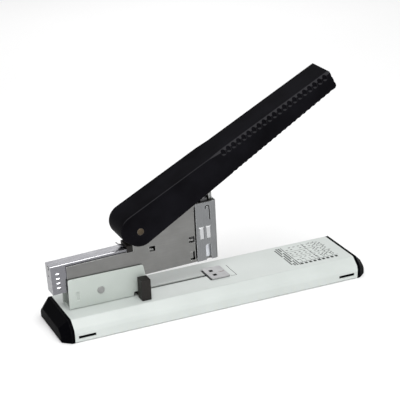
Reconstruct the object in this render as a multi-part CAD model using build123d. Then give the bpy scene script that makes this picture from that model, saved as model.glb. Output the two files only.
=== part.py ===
from build123d import *
import os
from math import cos, radians, sin

# Heavy duty lever stapler on a long base, in millimetres.
# X runs along the base towards the free end of the handle, Y across it, Z up.
# The origin is the middle of the base's footprint, on the surface the feet stand on.

# ---- base ----
BASE_HALF_LENGTH = 153.8
BASE_HALF_WIDTH = 40.0
BASE_FOOT_HALF_WIDTH = 39.5
BASE_SHOULDER_HALF_WIDTH = 38.5
BASE_FLAT_HALF_WIDTH = 30.0
BASE_TOP = 21.2
BASE_SHOULDER_Z = 14.0
BASE_WIDEST_Z = 10.0
BASE_RIM_Z = 0.8
SHEET = 1.2
FLOOR_Z = 1.6
FLOOR_TOP = FLOOR_Z + SHEET
FLOOR_HALF_LENGTH = 153.0
FLOOR_HALF_WIDTH = 38.2
FOOT_X, FOOT_Y, FOOT_R = 125.0, 26.0, 8.0
CAP_BAND = 3.0
CAP_TAPER = 8.8
CAP_END_HALF_WIDTH = 32.0
CAP_END_TOP = 12.4
CAP_END_WAIST_Z, CAP_END_SHOULDER_Z = 5.5, 8.6
CAP_HOLLOW_TOP, CAP_END_WALL = 9.0, 3.5
CAP_LIFT = 0.4
CAP_FACET = 1.2
CAP_HOLLOW_HALF_WIDTH = 27.0
CLIP_X0, CLIP_X1 = 132.5, 150.0
CLIP_Z0, CLIP_Z1 = 4.0, 7.0
CLIP_ARM_Y0, CLIP_ARM_Y1 = 35.2, 37.6
CLIP_NUB_Y0, CLIP_NUB_Y1 = 37.0, 39.1
PLUG_X = 138.0
PLUG_TOP, PLUG_WALL, PLUG_POST = 17.5, 2.0, 12.0
BASE_SCREW_X, BASE_SCREW_Y = 147.0, 21.0
BASE_SCREW_R = 1.45

# ---- paper stop and its slot ----
SLOT_HALF_WIDTH = 2.0
SLOT_X0, SLOT_X1 = -80.0, 0.5
STOP_X0, STOP_X1 = -78.4, -68.6
STOP_Y0, STOP_Y1 = 14.0, 26.0
STOP_TOP = 43.0
STOP_GAP = 0.3
CROSSBAR_TOP = 25.0
STOP_TONGUE_MARGIN = 1.0
STOP_SCREW_X = (STOP_X0 + STOP_X1) / 2
STOP_SCREW_TIP = 23.6
CLAMP_GAP, CLAMP_SHEET = 0.4, 1.2

# ---- anvil ----
ANVIL_X0, ANVIL_X1 = 1.5, 22.0
ANVIL_HALF_WIDTH = 14.0
ANVIL_TOP = 22.5
CLINCH_X, CLINCH_Y = 8.4, 5.1
CLINCH_R, CLINCH_DEPTH, CLINCH_WIDTH = 3.2, 1.1, 4.0
ANVIL_WINDOW = 1.2
ANVIL_SCREW_X, ANVIL_SCREW_Y = 17.0, 8.0
ANVIL_SCREW_R = 1.95
SUPPORT_X0, SUPPORT_X1, SUPPORT_HALF_WIDTH = 2.2, 24.0, 12.0

# ---- head bracket and hinge ----
BRACKET_X0, BRACKET_X1 = -148.0, -68.0
BRACKET_INNER, BRACKET_OUTER = 9.8, 11.0
BRACKET_TOP = 53.0
BRACKET_WEB_END = -82.0
BRACKET_UNDERCUT_Z = 26.0
HINGE_X, HINGE_Z = -115.1, 36.0
HINGE_R = 3.0
HINGE_HEAD_R, HINGE_HEAD = 3.7, 0.7
RUNNING_GAP = 0.06
HEAD_TILT = 2.0
RIVET_XS = (-138.0, -104.0)
RIVET_Y, RIVET_R = 5.5, 2.0
DIMPLE_X, DIMPLE_Z = -139.0, 34.5
DIMPLE_WIDTH, DIMPLE_HEIGHT, DIMPLE_DEPTH = 3.2, 9.0, 0.9
BRACKET_FOLD_R, BRACKET_FOOT_GAP = 0.8, 0.5
NOTCH_XS, NOTCH_R = (-141.5, -91.0), 1.3
RETURN_SPRING_X = -90.0

# ---- head, drawn level; it is tilted nose up about the hinge when it is placed ----
PLATE_INNER, PLATE_OUTER = 7.9, 9.0
PLATE_REAR = -146.7
PLATE_TOP = 67.5
PLATE_STEP_X = -77.6
LATCH_NOTCH_X, LATCH_NOTCH_Z = -84.3, 66.8
HEAD_BOTTOM = 39.2
HEAD_HIGH = 100.7
PIVOT_X, PIVOT_Z = -71.1, 89.5
PIVOT_R = 3.6
PIVOT_LOBE_R = 12.0
HINGE_LOBE_R = 7.5
NOSE_REAR, NOSE_FRONT = -11.3, 11.5
NOSE_LEAN = 1.8
NOSE_OUTER = 9.9
NOSE_WALL = 1.1
NOSE_BEND_R = 3.0
KEYHOLE_X, KEYHOLE_Z, KEYHOLE_R, KEYHOLE_DISC_R = 3.2, 94.9, 2.6, 1.5
KEYSLOT_WIDTH, KEYSLOT_BOTTOM = 1.3, 81.4
FOOT_SLOT_X, FOOT_SLOT_R, FOOT_SLOT_TOP = 1.4, 2.8, 55.9
NOSE_RIB_XS, NOSE_RIB_WIDTH, NOSE_RIB = (-7.5, -0.3), 5.4, 1.1
NOSE_RIB_Z0, NOSE_RIB_Z1 = 61.8, 75.4
RELIEF_WIDTH, RELIEF_LAP, RELIEF_Z0, RELIEF_Z1 = 1.3, 0.3, 42.5, 97.5
FRAME_RIVETS = ((-52.0, 95.0), (-34.0, 97.0))
FRAME_RIVET_R = 2.2
TONGUE_BEND = 18.0
LANCE_CUTS = ((-61.4, -54.6, 62.0, 67.6), (-18.7, -12.3, 61.0, 67.4), (-18.2, -13.2, 42.2, 51.2))
LANCE_TONGUES = ((-61.4, -57.0, 64.0, 65.7), (-18.7, -14.4, 63.3, 65.0), (-18.2, -15.6, 44.6, 51.2))
TRACK_HALF_WIDTH = 5.4
TRACK_TOP = 61.0
TRACK_REAR = -100.0
MAGAZINE_REAR, MAGAZINE_FRONT = -140.0, 8.9
STAPLE_HALF_WIDTH = 6.5
STAPLE_CROWN = 62.8
STRIP_REAR = -10.0

# ---- loading rail, pusher and latch ----
RAIL_REAR, RAIL_FRONT = -162.5, -66.0
RAIL_HALF_WIDTH = 7.6
RAIL_SHEET = 0.8
RAIL_BOTTOM, RAIL_TOP = 40.8, 70.6
ROD_Z, ROD_R = 66.9, 1.5
RAIL_HOLE_Z, RAIL_HOLE_R = 58.5, 1.4
ROD_FRONT = -13.0
SPRING_R = 2.3
PUSHER_LENGTH, PUSHER_HALF_WIDTH = 12.0, 6.4
GRIP_RIBS, GRIP_RIB, GRIP_RIB_PITCH = 4, 0.9, 4.9
GRIP_RIB_X0, GRIP_RIB_X1, GRIP_RIB_Z = -157.8, -153.8, 45.4
LATCH_X, LATCH_Z, LATCH_PIN_R = -74.0, 74.4, 1.5
LATCH_LOBE_R = 2.4
LATCH_REAR, LATCH_FRONT = -83.6, -77.9
LATCH_TOP = 73.6
LATCH_EAR_BOTTOM = 67.1
LATCH_ARM_HALF_WIDTH = 7.5
FINGER_HALF_WIDTH = 2.5

# ---- handle, drawn along its own top line with the pivot at its origin ----
HANDLE_SLOPE = 27.3
HANDLE_HALF_WIDTH = 18.0
HANDLE_TOP = 19.7
HANDLE_END = 243.5
HANDLE_WALL = 3.0
HANDLE_HEEL_R = 15.4
HANDLE_BACK_R = 16.0
HANDLE_BACK_U, HANDLE_TAPER = -2.3, 3.6
MOUTH_TOP, MOUTH_END = 1.0, 236.0
GRIP_START = 110.0
GRIP_PITCH = 6.3
GRIP_R, GRIP_DEPTH, GRIP_BITE = 2.4, 1.8, 4.5
GRIP_UNDER_R, GRIP_UNDER_DEPTH = 5.4, 0.8
GRIP_END_R, GRIP_END_DEPTH = 2.7, 0.6
GRIP_END_VS = (13.2, 6.6)
EDGE_R = 0.9
FACET_START, FACET_FULL, FACET = 94.0, 110.0, 2.3
CORE_OUTER, CORE_INNER = 15.0, 13.4
CORE_SHEET = 2.0
CORE_END = 150.0
PAD_U, PAD_V, PAD_R = 76.0, 12.0, 5.0
HANDLE_SCREWS = (45.0, 130.0)

# ---- driver ----
STROKE = 31.07
BLADE_BACK, BLADE_FRONT = 9.2, 10.2
BLADE_HALF_WIDTH = 6.4
CARRIER_Z0, CARRIER_Z1, CARRIER_TOP = 94.4, 98.0, 104.0
CARRIER_REAR, CARRIER_STEP, CARRIER_STEP_END = -8.6, -2.0, 4.5
CARRIER_HALF_WIDTH = 7.2
STEM_REAR_X, STEM_R = -5.0, 2.0
STEM_BACK, STEM_HALF_WIDTH = 7.2, 5.6
CAP_PLATE = 2.0


def block(x0, x1, y0, y1, z0, z1):
    """Box between two corners."""
    centre = Pos((x0 + x1) / 2, (y0 + y1) / 2, (z0 + z1) / 2)
    return centre * Box(x1 - x0, y1 - y0, z1 - z0)


def both_sides(shape):
    """A shape and its mirror image across the middle plane, as one group."""
    return Compound([*shape.solids(), *shape.mirror(Plane.XZ).solids()])


def pin_y(x, z, radius, y0, y1):
    """Cylinder across the object."""
    return Pos(x, (y0 + y1) / 2, z) * Rot(90, 0, 0) * Cylinder(radius, y1 - y0)


def pin_z(x, y, radius, z0, z1):
    """Upright cylinder."""
    return Pos(x, y, (z0 + z1) / 2) * Cylinder(radius, z1 - z0)


def pin_x(y, z, radius, x0, x1):
    """Cylinder along the object."""
    return Pos((x0 + x1) / 2, y, z) * Rot(0, 90, 0) * Cylinder(radius, x1 - x0)


def side_sheet(outline, y0, y1):
    """A flat piece cut to an outline of (x, z) points and standing from y0 to y1."""
    edge = Polyline([(x, y0, z) for x, z in outline], close=True)
    return extrude(make_face(edge), amount=y1 - y0, dir=(0, 1, 0))


def coil_y(x, z, radius, wire, y0, y1, pitch):
    """Coil spring wound about an axis across the object."""
    path = Helix(pitch=pitch, height=y1 - y0, radius=radius)
    wound = sweep(Plane(path @ 0, z_dir=path % 0) * Circle(wire), path=path, is_frenet=True)
    return Pos(x, y0, z) * Rot(-90, 0, 0) * wound


def coil_z(x, y, radius, wire, z0, z1, pitch):
    """Upright coil spring whose wire's outside ends lie at z0 and z1."""
    path = Helix(pitch=pitch, height=z1 - z0 - 2 * wire, radius=radius)
    wound = sweep(Plane(path @ 0, z_dir=path % 0) * Circle(wire), path=path, is_frenet=True)
    return Pos(x, y, z0 + wire) * wound


def coil_x(y, z, radius, wire, x0, x1, pitch):
    """Coil spring wound about an axis along the object."""
    path = Helix(pitch=pitch, height=x1 - x0, radius=radius)
    wound = sweep(Plane(path @ 0, z_dir=path % 0) * Circle(wire), path=path, is_frenet=True)
    return Pos(x0, y, z) * Rot(0, 90, 0) * wound


def in_head(shape):
    """Tilt a piece drawn level to where the raised head holds it."""
    hinge = Pos(HINGE_X, 0, HINGE_Z)
    return hinge * Rot(0, -HEAD_TILT, 0) * hinge.inverse() * shape


def in_handle(shape):
    """Place a piece drawn along the handle, with the pivot at its origin."""
    tilted = Pos(PIVOT_X, 0, PIVOT_Z) * Rot(0, HEAD_TILT - HANDLE_SLOPE, 0) * shape
    return in_head(tilted)


def write(name, shape):
    """One STEP file for one named piece."""
    export_step(shape, f"parts/{name}.step")


# ---------------------------------------------------------------- base
def base_half(inset, low):
    """Half of the base's section, moved in by a wall thickness, from its rim to its flat top."""
    return [
        (BASE_FOOT_HALF_WIDTH - inset, low),
        (BASE_HALF_WIDTH - inset, BASE_WIDEST_Z),
        (BASE_SHOULDER_HALF_WIDTH - inset, BASE_SHOULDER_Z - 0.35 * inset),
        (BASE_FLAT_HALF_WIDTH - 0.4 * inset, BASE_TOP - inset),
    ]


def base_outline(inset, low):
    """The whole section, rounded at the shoulders."""
    right = base_half(inset, low)
    left = [(-y, z) for y, z in reversed(right)]
    points = [(0, y, z) for y, z in right + left]
    bends = [0, 6.0, 4.0, 3.0, 3.0, 4.0, 6.0, 0]
    return FilletPolyline(points, radius=bends, close=True)


def base_cover():
    """Pressed cover: an upside down tray, open at both ends and below."""
    length = 2 * BASE_HALF_LENGTH
    start = Pos(-BASE_HALF_LENGTH, 0, 0)
    shell = start * extrude(make_face(base_outline(0, BASE_RIM_Z)), amount=length, dir=(1, 0, 0))
    hollow = extrude(make_face(base_outline(SHEET, -SHEET)), amount=length, dir=(1, 0, 0))
    shell -= start * hollow
    half = SLOT_HALF_WIDTH
    low, high = BASE_TOP - 2 * SHEET, BASE_TOP + SHEET
    shell -= block(SLOT_X0, SLOT_X1, -half, half, low, high)
    window = ANVIL_HALF_WIDTH - 1.0
    shell -= block(ANVIL_X0 - ANVIL_WINDOW, ANVIL_X0 + 1.0, -window, window, low, high)
    for side in (-1, 1):
        x0, x1 = sorted((side * CLIP_X0, side * CLIP_X1))
        shell -= block(x0, x1, -BASE_HALF_WIDTH - 1, BASE_HALF_WIDTH + 1, CLIP_Z0, CLIP_Z1)
        shell -= pin_z(ANVIL_SCREW_X, side * ANVIL_SCREW_Y, ANVIL_SCREW_R + 0.15, low, high)
        for x in RIVET_XS:
            shell -= pin_z(x, side * RIVET_Y, RIVET_R, low, high)
    return shell


def end_cap():
    """Moulded cap for the +X end: a band, a faceted taper, a plug and two clip arms."""
    x0 = BASE_HALF_LENGTH
    x1 = x0 + CAP_BAND
    x2 = x1 + CAP_TAPER
    full = base_half(0, CAP_LIFT)
    small = [
        (CAP_END_HALF_WIDTH, CAP_LIFT),
        (CAP_END_HALF_WIDTH + 0.4, CAP_END_WAIST_Z),
        (CAP_END_HALF_WIDTH - 1.4, CAP_END_SHOULDER_Z),
        (CAP_END_HALF_WIDTH - 7.5, CAP_END_TOP),
    ]
    sections = []
    for x, half in ((x1, full), (x2, small)):
        outline = half + [(-y, z) for y, z in reversed(half)]
        sections.append(make_face(Polyline([(x, y, z) for y, z in outline], close=True)))
    band = make_face(base_outline(0, CAP_LIFT))
    cap = loft(sections, ruled=True)
    cap += Pos(x0, 0, 0) * extrude(band, amount=CAP_BAND, dir=(1, 0, 0))
    facets = cap.edges().filter_by(lambda e: e.bounding_box().min.X > x2 - 0.01)
    cap = fillet(facets, CAP_FACET)
    half = CAP_HOLLOW_HALF_WIDTH
    cap -= block(x0 + CAP_BAND / 2, x2 - CAP_END_WALL, -half, half, -1, CAP_HOLLOW_TOP)
    plug = block(PLUG_X, x0, -half, half, FLOOR_TOP, PLUG_TOP)
    inner = half - PLUG_POST
    plug_top = PLUG_TOP - PLUG_WALL
    plug -= block(PLUG_X + PLUG_WALL, x0 - PLUG_WALL, -inner, inner, FLOOR_TOP - 1, plug_top)
    for side in (-1, 1):
        plug -= pin_z(BASE_SCREW_X, side * BASE_SCREW_Y, BASE_SCREW_R + 0.05, FLOOR_TOP - 1, 14.0)
        arm_in, arm_out = sorted((side * CLIP_ARM_Y0, side * CLIP_ARM_Y1))
        nub_in, nub_out = sorted((side * CLIP_NUB_Y0, side * CLIP_NUB_Y1))
        cap += block(CLIP_X0 - 1.5, x0, arm_in, arm_out, CLIP_Z0 - 0.8, CLIP_Z1 + 2)
        cap += block(CLIP_X0 + 0.4, CLIP_X1 - 0.4, nub_in, nub_out, CLIP_Z0 + 0.3, CLIP_Z1 - 0.3)
    return cap + plug


def floor_plate():
    """Flat steel plate that closes the base from below."""
    half_x, half_y = FLOOR_HALF_LENGTH, FLOOR_HALF_WIDTH
    plate = block(-half_x, half_x, -half_y, half_y, FLOOR_Z, FLOOR_TOP)
    for side in (-1, 1):
        plate -= pin_z(ANVIL_SCREW_X, side * ANVIL_SCREW_Y, ANVIL_SCREW_R + 0.15, 0, FLOOR_TOP + 1)
        for x in (-BASE_SCREW_X, BASE_SCREW_X):
            plate -= pin_z(x, side * BASE_SCREW_Y, BASE_SCREW_R + 0.15, 0, FLOOR_TOP + 1)
    return plate


def pan_screw(x, y, head_r, head_z, seat_z, shank_r, tip_z):
    """Screw driven upwards, with a domed head and a cross recess."""
    head = pin_z(x, y, head_r, head_z, seat_z)
    head = fillet(head.edges().filter_by(GeomType.CIRCLE).sort_by(Axis.Z)[0], 0.5)
    arm = head_r * 0.6
    for long_x, long_y in ((arm, 0.4), (0.4, arm)):
        head -= block(x - long_x, x + long_x, y - long_y, y + long_y, head_z - 1, head_z + 0.6)
    return head + pin_z(x, y, shank_r, seat_z, tip_z)


def base_screws():
    screws = []
    for x in (-BASE_SCREW_X, BASE_SCREW_X):
        for y in (-BASE_SCREW_Y, BASE_SCREW_Y):
            screws += pan_screw(x, y, 3.0, 0.3, FLOOR_Z, BASE_SCREW_R, 13.0).solids()
    return Compound(screws)


def anvil_screws():
    screws = []
    tip = BASE_TOP + 0.8
    for y in (-ANVIL_SCREW_Y, ANVIL_SCREW_Y):
        screws += pan_screw(ANVIL_SCREW_X, y, 3.5, 0.3, FLOOR_Z, ANVIL_SCREW_R, tip).solids()
    return Compound(screws)


def rubber_feet():
    feet = []
    for x in (-FOOT_X, FOOT_X):
        for y in (-FOOT_Y, FOOT_Y):
            foot = pin_z(x, y, FOOT_R, 0, FLOOR_Z)
            foot = fillet(foot.edges().filter_by(GeomType.CIRCLE).sort_by(Axis.Z)[0], 0.5)
            feet += foot.solids()
    return Compound(feet)


# ---------------------------------------------------------------- anvil
def anvil_plate():
    """Hardened plate with two dished pockets that curl the staple's legs."""
    half_y = ANVIL_HALF_WIDTH
    plate = block(ANVIL_X0, ANVIL_X1, -half_y, half_y, BASE_TOP, ANVIL_TOP)
    plate = fillet(plate.edges().filter_by(Axis.Z), 2.5)
    plate = fillet(plate.faces().sort_by(Axis.Z)[-1].edges(), 0.5)
    half = CLINCH_WIDTH / 2
    axis_z = ANVIL_TOP + CLINCH_R - CLINCH_DEPTH
    for side in (-1, 1):
        plate -= pin_x(side * CLINCH_Y, axis_z, CLINCH_R, CLINCH_X - half, CLINCH_X + half)
        y = side * ANVIL_SCREW_Y
        plate -= pin_z(ANVIL_SCREW_X, y, ANVIL_SCREW_R + 0.05, BASE_TOP - 1, BASE_TOP + 0.8)
    return plate


def anvil_support():
    """Steel block that carries the blow from the anvil down to the floor plate."""
    half = SUPPORT_HALF_WIDTH
    support = block(SUPPORT_X0, SUPPORT_X1, -half, half, FLOOR_TOP, BASE_TOP - SHEET)
    for side in (-1, 1):
        support -= pin_z(ANVIL_SCREW_X, side * ANVIL_SCREW_Y, ANVIL_SCREW_R + 0.15, 0, BASE_TOP)
    return support


# ---------------------------------------------------------------- paper stop
def paper_stop():
    """Moulded stop: two uprights either side of the head, a low crossbar and a slot tongue."""
    low = BASE_TOP + STOP_GAP
    bar = block(STOP_X0 + 1, STOP_X1 - 1, -STOP_Y1 + 1, STOP_Y1 - 1, low, CROSSBAR_TOP)
    for side in (-1, 1):
        y0, y1 = sorted((side * STOP_Y0, side * STOP_Y1))
        post = block(STOP_X0, STOP_X1, y0, y1, low, STOP_TOP)
        post = fillet(post.edges().filter_by(Axis.Z), 0.8)
        post = fillet(post.faces().sort_by(Axis.Z)[-1].edges(), 0.8)
        bar += post
    x0, x1 = STOP_X0 + STOP_TONGUE_MARGIN, STOP_X1 - STOP_TONGUE_MARGIN
    half = SLOT_HALF_WIDTH - CLAMP_GAP
    bar += block(x0, x1, -half, half, BASE_TOP - SHEET - CLAMP_GAP, low)
    return bar - pin_z(STOP_SCREW_X, 0, 1.5, BASE_TOP - 3, STOP_SCREW_TIP + 0.2)


def stop_clamp():
    """Spring steel plate under the cover that holds the stop in its slot."""
    top = BASE_TOP - SHEET - CLAMP_GAP
    plate = block(STOP_X0 - 2, STOP_X1 + 2, -8.0, 8.0, top - CLAMP_SHEET, top)
    plate = fillet(plate.edges().filter_by(Axis.Z), 2.0)
    return plate - pin_z(STOP_SCREW_X, 0, 1.5, BASE_TOP - 4, BASE_TOP)


def stop_screw():
    seat = BASE_TOP - SHEET - CLAMP_GAP - CLAMP_SHEET
    return pan_screw(STOP_SCREW_X, 0, 2.8, seat - 1.5, seat, 1.4, STOP_SCREW_TIP)


# ---------------------------------------------------------------- bracket
def head_bracket():
    """Folded bracket: a web riveted to the cover and two walls that hold the hinge pin."""
    foot = BASE_TOP + BRACKET_FOOT_GAP
    wall_outline = [
        (BRACKET_X0, foot),
        (BRACKET_WEB_END, foot),
        (BRACKET_WEB_END + 1.0, BRACKET_UNDERCUT_Z),
        (BRACKET_X1 + 0.4, BRACKET_UNDERCUT_Z),
        (BRACKET_X1, BRACKET_UNDERCUT_Z + 14.0),
        (BRACKET_X1 - 2.4, BRACKET_TOP),
        (BRACKET_X0, BRACKET_TOP),
    ]
    wall = side_sheet(wall_outline, BRACKET_INNER, BRACKET_OUTER)
    corners = wall.edges().filter_by(Axis.Y).filter_by(lambda e: e.center().Z > BRACKET_TOP - 0.1)
    wall = fillet(corners, 2.0)
    fold = wall.edges().filter_by(Axis.X).filter_by(lambda e: e.center().Z < foot + 0.1)
    wall = fillet(fold.sort_by(Axis.Y)[-1], BRACKET_FOLD_R)
    wall -= pin_y(HINGE_X, HINGE_Z, HINGE_R, 0, BRACKET_OUTER + 1)
    half_w, half_h = DIMPLE_WIDTH / 2, DIMPLE_HEIGHT / 2
    x0, x1 = DIMPLE_X - half_w, DIMPLE_X + half_w
    z0, z1 = DIMPLE_Z - half_h, DIMPLE_Z + half_h
    wall -= block(x0, x1, BRACKET_OUTER - DIMPLE_DEPTH, BRACKET_OUTER + 1, z0, z1)
    for notch_x in NOTCH_XS:
        wall -= pin_y(notch_x, foot, NOTCH_R, 0, BRACKET_OUTER + 1)
    bracket = wall + wall.mirror(Plane.XZ)
    inner, web_top = BRACKET_INNER, BASE_TOP + SHEET
    web = block(BRACKET_X0 + 1, BRACKET_WEB_END, -inner, inner, BASE_TOP, web_top)
    for x in RIVET_XS:
        for y in (-RIVET_Y, RIVET_Y):
            web -= pin_z(x, y, RIVET_R, BASE_TOP - 1, web_top + 1)
    return bracket + web


def bracket_rivets():
    rivets = []
    for x in RIVET_XS:
        for y in (-RIVET_Y, RIVET_Y):
            head = pin_z(x, y, 3.2, BASE_TOP + SHEET, BASE_TOP + 2 * SHEET)
            head = fillet(head.edges().filter_by(GeomType.CIRCLE).sort_by(Axis.Z)[-1], 0.8)
            body = pin_z(x, y, RIVET_R - 0.05, BASE_TOP - SHEET, BASE_TOP + SHEET)
            tail = pin_z(x, y, 3.0, BASE_TOP - SHEET - 1.0, BASE_TOP - SHEET)
            rivets += (head + body + tail).solids()
    return Compound(rivets)


def hinge_pin():
    """Rivet that the whole head turns on."""
    pin = pin_y(HINGE_X, HINGE_Z, HINGE_R, -BRACKET_OUTER, BRACKET_OUTER)
    for side in (-1, 1):
        y0, y1 = sorted((side * BRACKET_OUTER, side * (BRACKET_OUTER + HINGE_HEAD)))
        head = pin_y(HINGE_X, HINGE_Z, HINGE_HEAD_R, y0, y1)
        outer = head.edges().filter_by(GeomType.CIRCLE).sort_by(lambda e: abs(e.center().Y))[-1]
        pin += fillet(outer, 0.4)
    return pin


def hinge_washers():
    washer = pin_y(HINGE_X, HINGE_Z, 6.5, PLATE_OUTER + 0.15, BRACKET_INNER)
    washer -= pin_y(HINGE_X, HINGE_Z, HINGE_R, 0, BRACKET_INNER + 1)
    return both_sides(washer)


def head_return_spring():
    """Compression spring that lifts the head off the anvil."""
    return coil_z(RETURN_SPRING_X, 0, 5.0, 0.7, BASE_TOP + SHEET + 0.1, 39.6, 3.4)


# ---------------------------------------------------------------- head
def bent_tongue(side, x0, x1, z0, z1):
    """Tongue left when an opening is lanced, bent outwards about its rear end."""
    root = 0.3
    thick = PLATE_OUTER - PLATE_INNER
    blade = block(-root, x1 - x0, -thick / 2, thick / 2, z0, z1)
    middle = side * (PLATE_OUTER - thick / 2)
    return Pos(x0, middle, 0) * Rot(0, 0, side * TONGUE_BEND) * blade


def nose_lean(z):
    """How far the nose has leaned forward at a height."""
    return NOSE_LEAN * (z - HEAD_BOTTOM) / (HEAD_HIGH - HEAD_BOTTOM)


def foot_slot(y0, y1):
    """Round topped slot at the foot, through which the staples' legs show."""
    slot_z = FOOT_SLOT_TOP - FOOT_SLOT_R
    slot = block(FOOT_SLOT_X - FOOT_SLOT_R, FOOT_SLOT_X + FOOT_SLOT_R, y0, y1, 0, slot_z)
    return slot + pin_y(FOOT_SLOT_X, slot_z, FOOT_SLOT_R, y0, y1)


def keyway(y0, y1):
    """Slit that runs over a disc and straight down from its front edge."""
    x, z, radius = KEYHOLE_X, KEYHOLE_Z, KEYHOLE_R
    slit = pin_y(x, z, radius, y0, y1) - pin_y(x, z, KEYHOLE_DISC_R, y0 - 1, y1 + 1)
    neck = KEYHOLE_DISC_R * cos(radians(45))
    slit -= block(x - radius, x + radius - KEYSLOT_WIDTH, y0 - 1, y1 + 1, z - radius, z - neck)
    return slit + block(x + radius - KEYSLOT_WIDTH, x + radius, y0, y1, KEYSLOT_BOTTOM, z)


def relief_slit(y0, y1):
    """Long slit in a side plate along the nose's rear edge."""
    outline = []
    for z, order in ((RELIEF_Z0, 1), (RELIEF_Z1, -1)):
        rear = NOSE_REAR + nose_lean(z)
        outline += [(rear - RELIEF_WIDTH, z), (rear + RELIEF_LAP, z)][::order]
    return side_sheet(outline, y0, y1)


def side_plate(side):
    """Frame plate of the head, with the hinge lobe, the pivot lobe and three lanced tabs."""
    y0, y1 = sorted((side * PLATE_INNER, side * PLATE_OUTER))
    front = NOSE_FRONT - NOSE_WALL
    outline = [
        (PLATE_REAR, PLATE_TOP),
        (LATCH_NOTCH_X, PLATE_TOP),
        (LATCH_NOTCH_X, LATCH_NOTCH_Z),
        (PLATE_STEP_X, LATCH_NOTCH_Z),
        (PLATE_STEP_X, PIVOT_Z),
        (PIVOT_X, PIVOT_Z + PIVOT_LOBE_R),
        (front, HEAD_HIGH),
        (front, HEAD_BOTTOM),
        (PLATE_REAR, HEAD_BOTTOM),
    ]
    plate = side_sheet(outline, y0, y1)
    plate += pin_y(PIVOT_X, PIVOT_Z, PIVOT_LOBE_R, y0, y1)
    plate += pin_y(HINGE_X, HINGE_Z, HINGE_LOBE_R, y0, y1)
    for x0, x1, z0, z1 in LANCE_CUTS:
        plate -= block(x0, x1, y0 - 1, y1 + 1, z0, z1)
    for tongue in LANCE_TONGUES:
        plate += bent_tongue(side, *tongue)
    for opening in (foot_slot, keyway, relief_slit):
        plate -= opening(y0 - 1, y1 + 1)
    plate -= pin_y(HINGE_X, HINGE_Z, HINGE_R + RUNNING_GAP, y0 - 1, y1 + 1)
    plate -= pin_y(PIVOT_X, PIVOT_Z, PIVOT_R, y0 - 1, y1 + 1)
    plate -= pin_y(LATCH_X, LATCH_Z, LATCH_PIN_R, y0 - 1, y1 + 1)
    for x, z in FRAME_RIVETS:
        plate -= pin_y(x, z, FRAME_RIVET_R, y0 - 1, y1 + 1)
    return in_head(plate)


def nose_block(inset, half_width, low, high):
    """Upright block that leans forward with the nose."""
    drop, rise = nose_lean(low), nose_lean(high)
    front = NOSE_FRONT - inset
    outline = [
        (NOSE_REAR + drop - inset, low),
        (front + drop, low),
        (front + rise, high),
        (NOSE_REAR + rise - inset, high),
    ]
    return side_sheet(outline, -half_width, half_width)


def nose_housing():
    """Folded channel round the driver: front wall, two sides, a keyway, ribs and a foot slot."""
    nose = nose_block(0, NOSE_OUTER, HEAD_BOTTOM - 0.2, HEAD_HIGH)
    upright = nose.edges().filter_by(lambda e: e.bounding_box().size.Z > 50)
    nose = fillet(upright.filter_by(lambda e: e.center().X > 0), NOSE_BEND_R)
    nose -= nose_block(NOSE_WALL, PLATE_OUTER, HEAD_BOTTOM - 5, HEAD_HIGH + 5)
    for side in (-1, 1):
        wall0, wall1 = sorted((side * (PLATE_OUTER - 0.5), side * (NOSE_OUTER + 1)))
        nose -= keyway(wall0, wall1)
        nose -= foot_slot(wall0, wall1)
        rib0, rib1 = sorted((side * NOSE_OUTER, side * (NOSE_OUTER + NOSE_RIB)))
        for x in NOSE_RIB_XS:
            rib = block(x, x + NOSE_RIB_WIDTH, rib0, rib1, NOSE_RIB_Z0, NOSE_RIB_Z1)
            crest = rib.faces().sort_by(lambda f: abs(f.center().Y))[-1].edges()
            nose += chamfer(crest, NOSE_RIB - 0.1)
    return in_head(nose)


def magazine_floor():
    """Floor of the staple channel, between the two side plates."""
    half, top = PLATE_INNER, HEAD_BOTTOM + SHEET
    return in_head(block(MAGAZINE_REAR, MAGAZINE_FRONT, -half, half, HEAD_BOTTOM, top))


def saddle(half_width, sheet, top, bottom, x0, x1):
    """An upside down U drawn out along X."""
    body = block(x0, x1, -half_width, half_width, bottom, top)
    inner = half_width - sheet
    return body - block(x0 - 1, x1 + 1, -inner, inner, bottom - 1, top - sheet)


def staple_track():
    """Inner rail that the staples straddle."""
    low = HEAD_BOTTOM + SHEET
    return in_head(saddle(TRACK_HALF_WIDTH, 1.0, TRACK_TOP, low, TRACK_REAR, MAGAZINE_FRONT))


def staple_strip():
    """A stick of staples, its legs outside the track."""
    low = HEAD_BOTTOM + SHEET + 0.1
    return in_head(saddle(STAPLE_HALF_WIDTH, 0.9, STAPLE_CROWN, low, STRIP_REAR, MAGAZINE_FRONT))


def handle_pivot_pin():
    """Brass pin through the side plates, on which the handle turns."""
    pin = pin_y(PIVOT_X, PIVOT_Z, PIVOT_R, -HANDLE_HALF_WIDTH + 0.2, HANDLE_HALF_WIDTH - 0.2)
    return in_head(chamfer(pin.edges().filter_by(GeomType.CIRCLE), 0.3))


def pivot_spacers():
    """Nylon rings that centre the handle's steel core on the head."""
    ring = pin_y(PIVOT_X, PIVOT_Z, 7.0, PLATE_OUTER, CORE_INNER - 0.3)
    ring -= pin_y(PIVOT_X, PIVOT_Z, PIVOT_R, 0, HANDLE_HALF_WIDTH)
    return in_head(both_sides(ring))


def handle_spring():
    """Torsion spring on the pivot pin that lifts the handle."""
    wire, radius, reach = 0.8, 5.6, 11.0
    coil = coil_y(PIVOT_X, PIVOT_Z, radius, wire, -5.0, 5.0, 2.0)
    legs = pin_x(-5.0, PIVOT_Z - radius, wire * 0.9, PIVOT_X, PIVOT_X + reach)
    legs += pin_x(5.0, PIVOT_Z + radius, wire * 0.9, PIVOT_X, PIVOT_X + reach)
    return in_head(Compound([*coil.solids(), *legs.solids()]))


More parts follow.
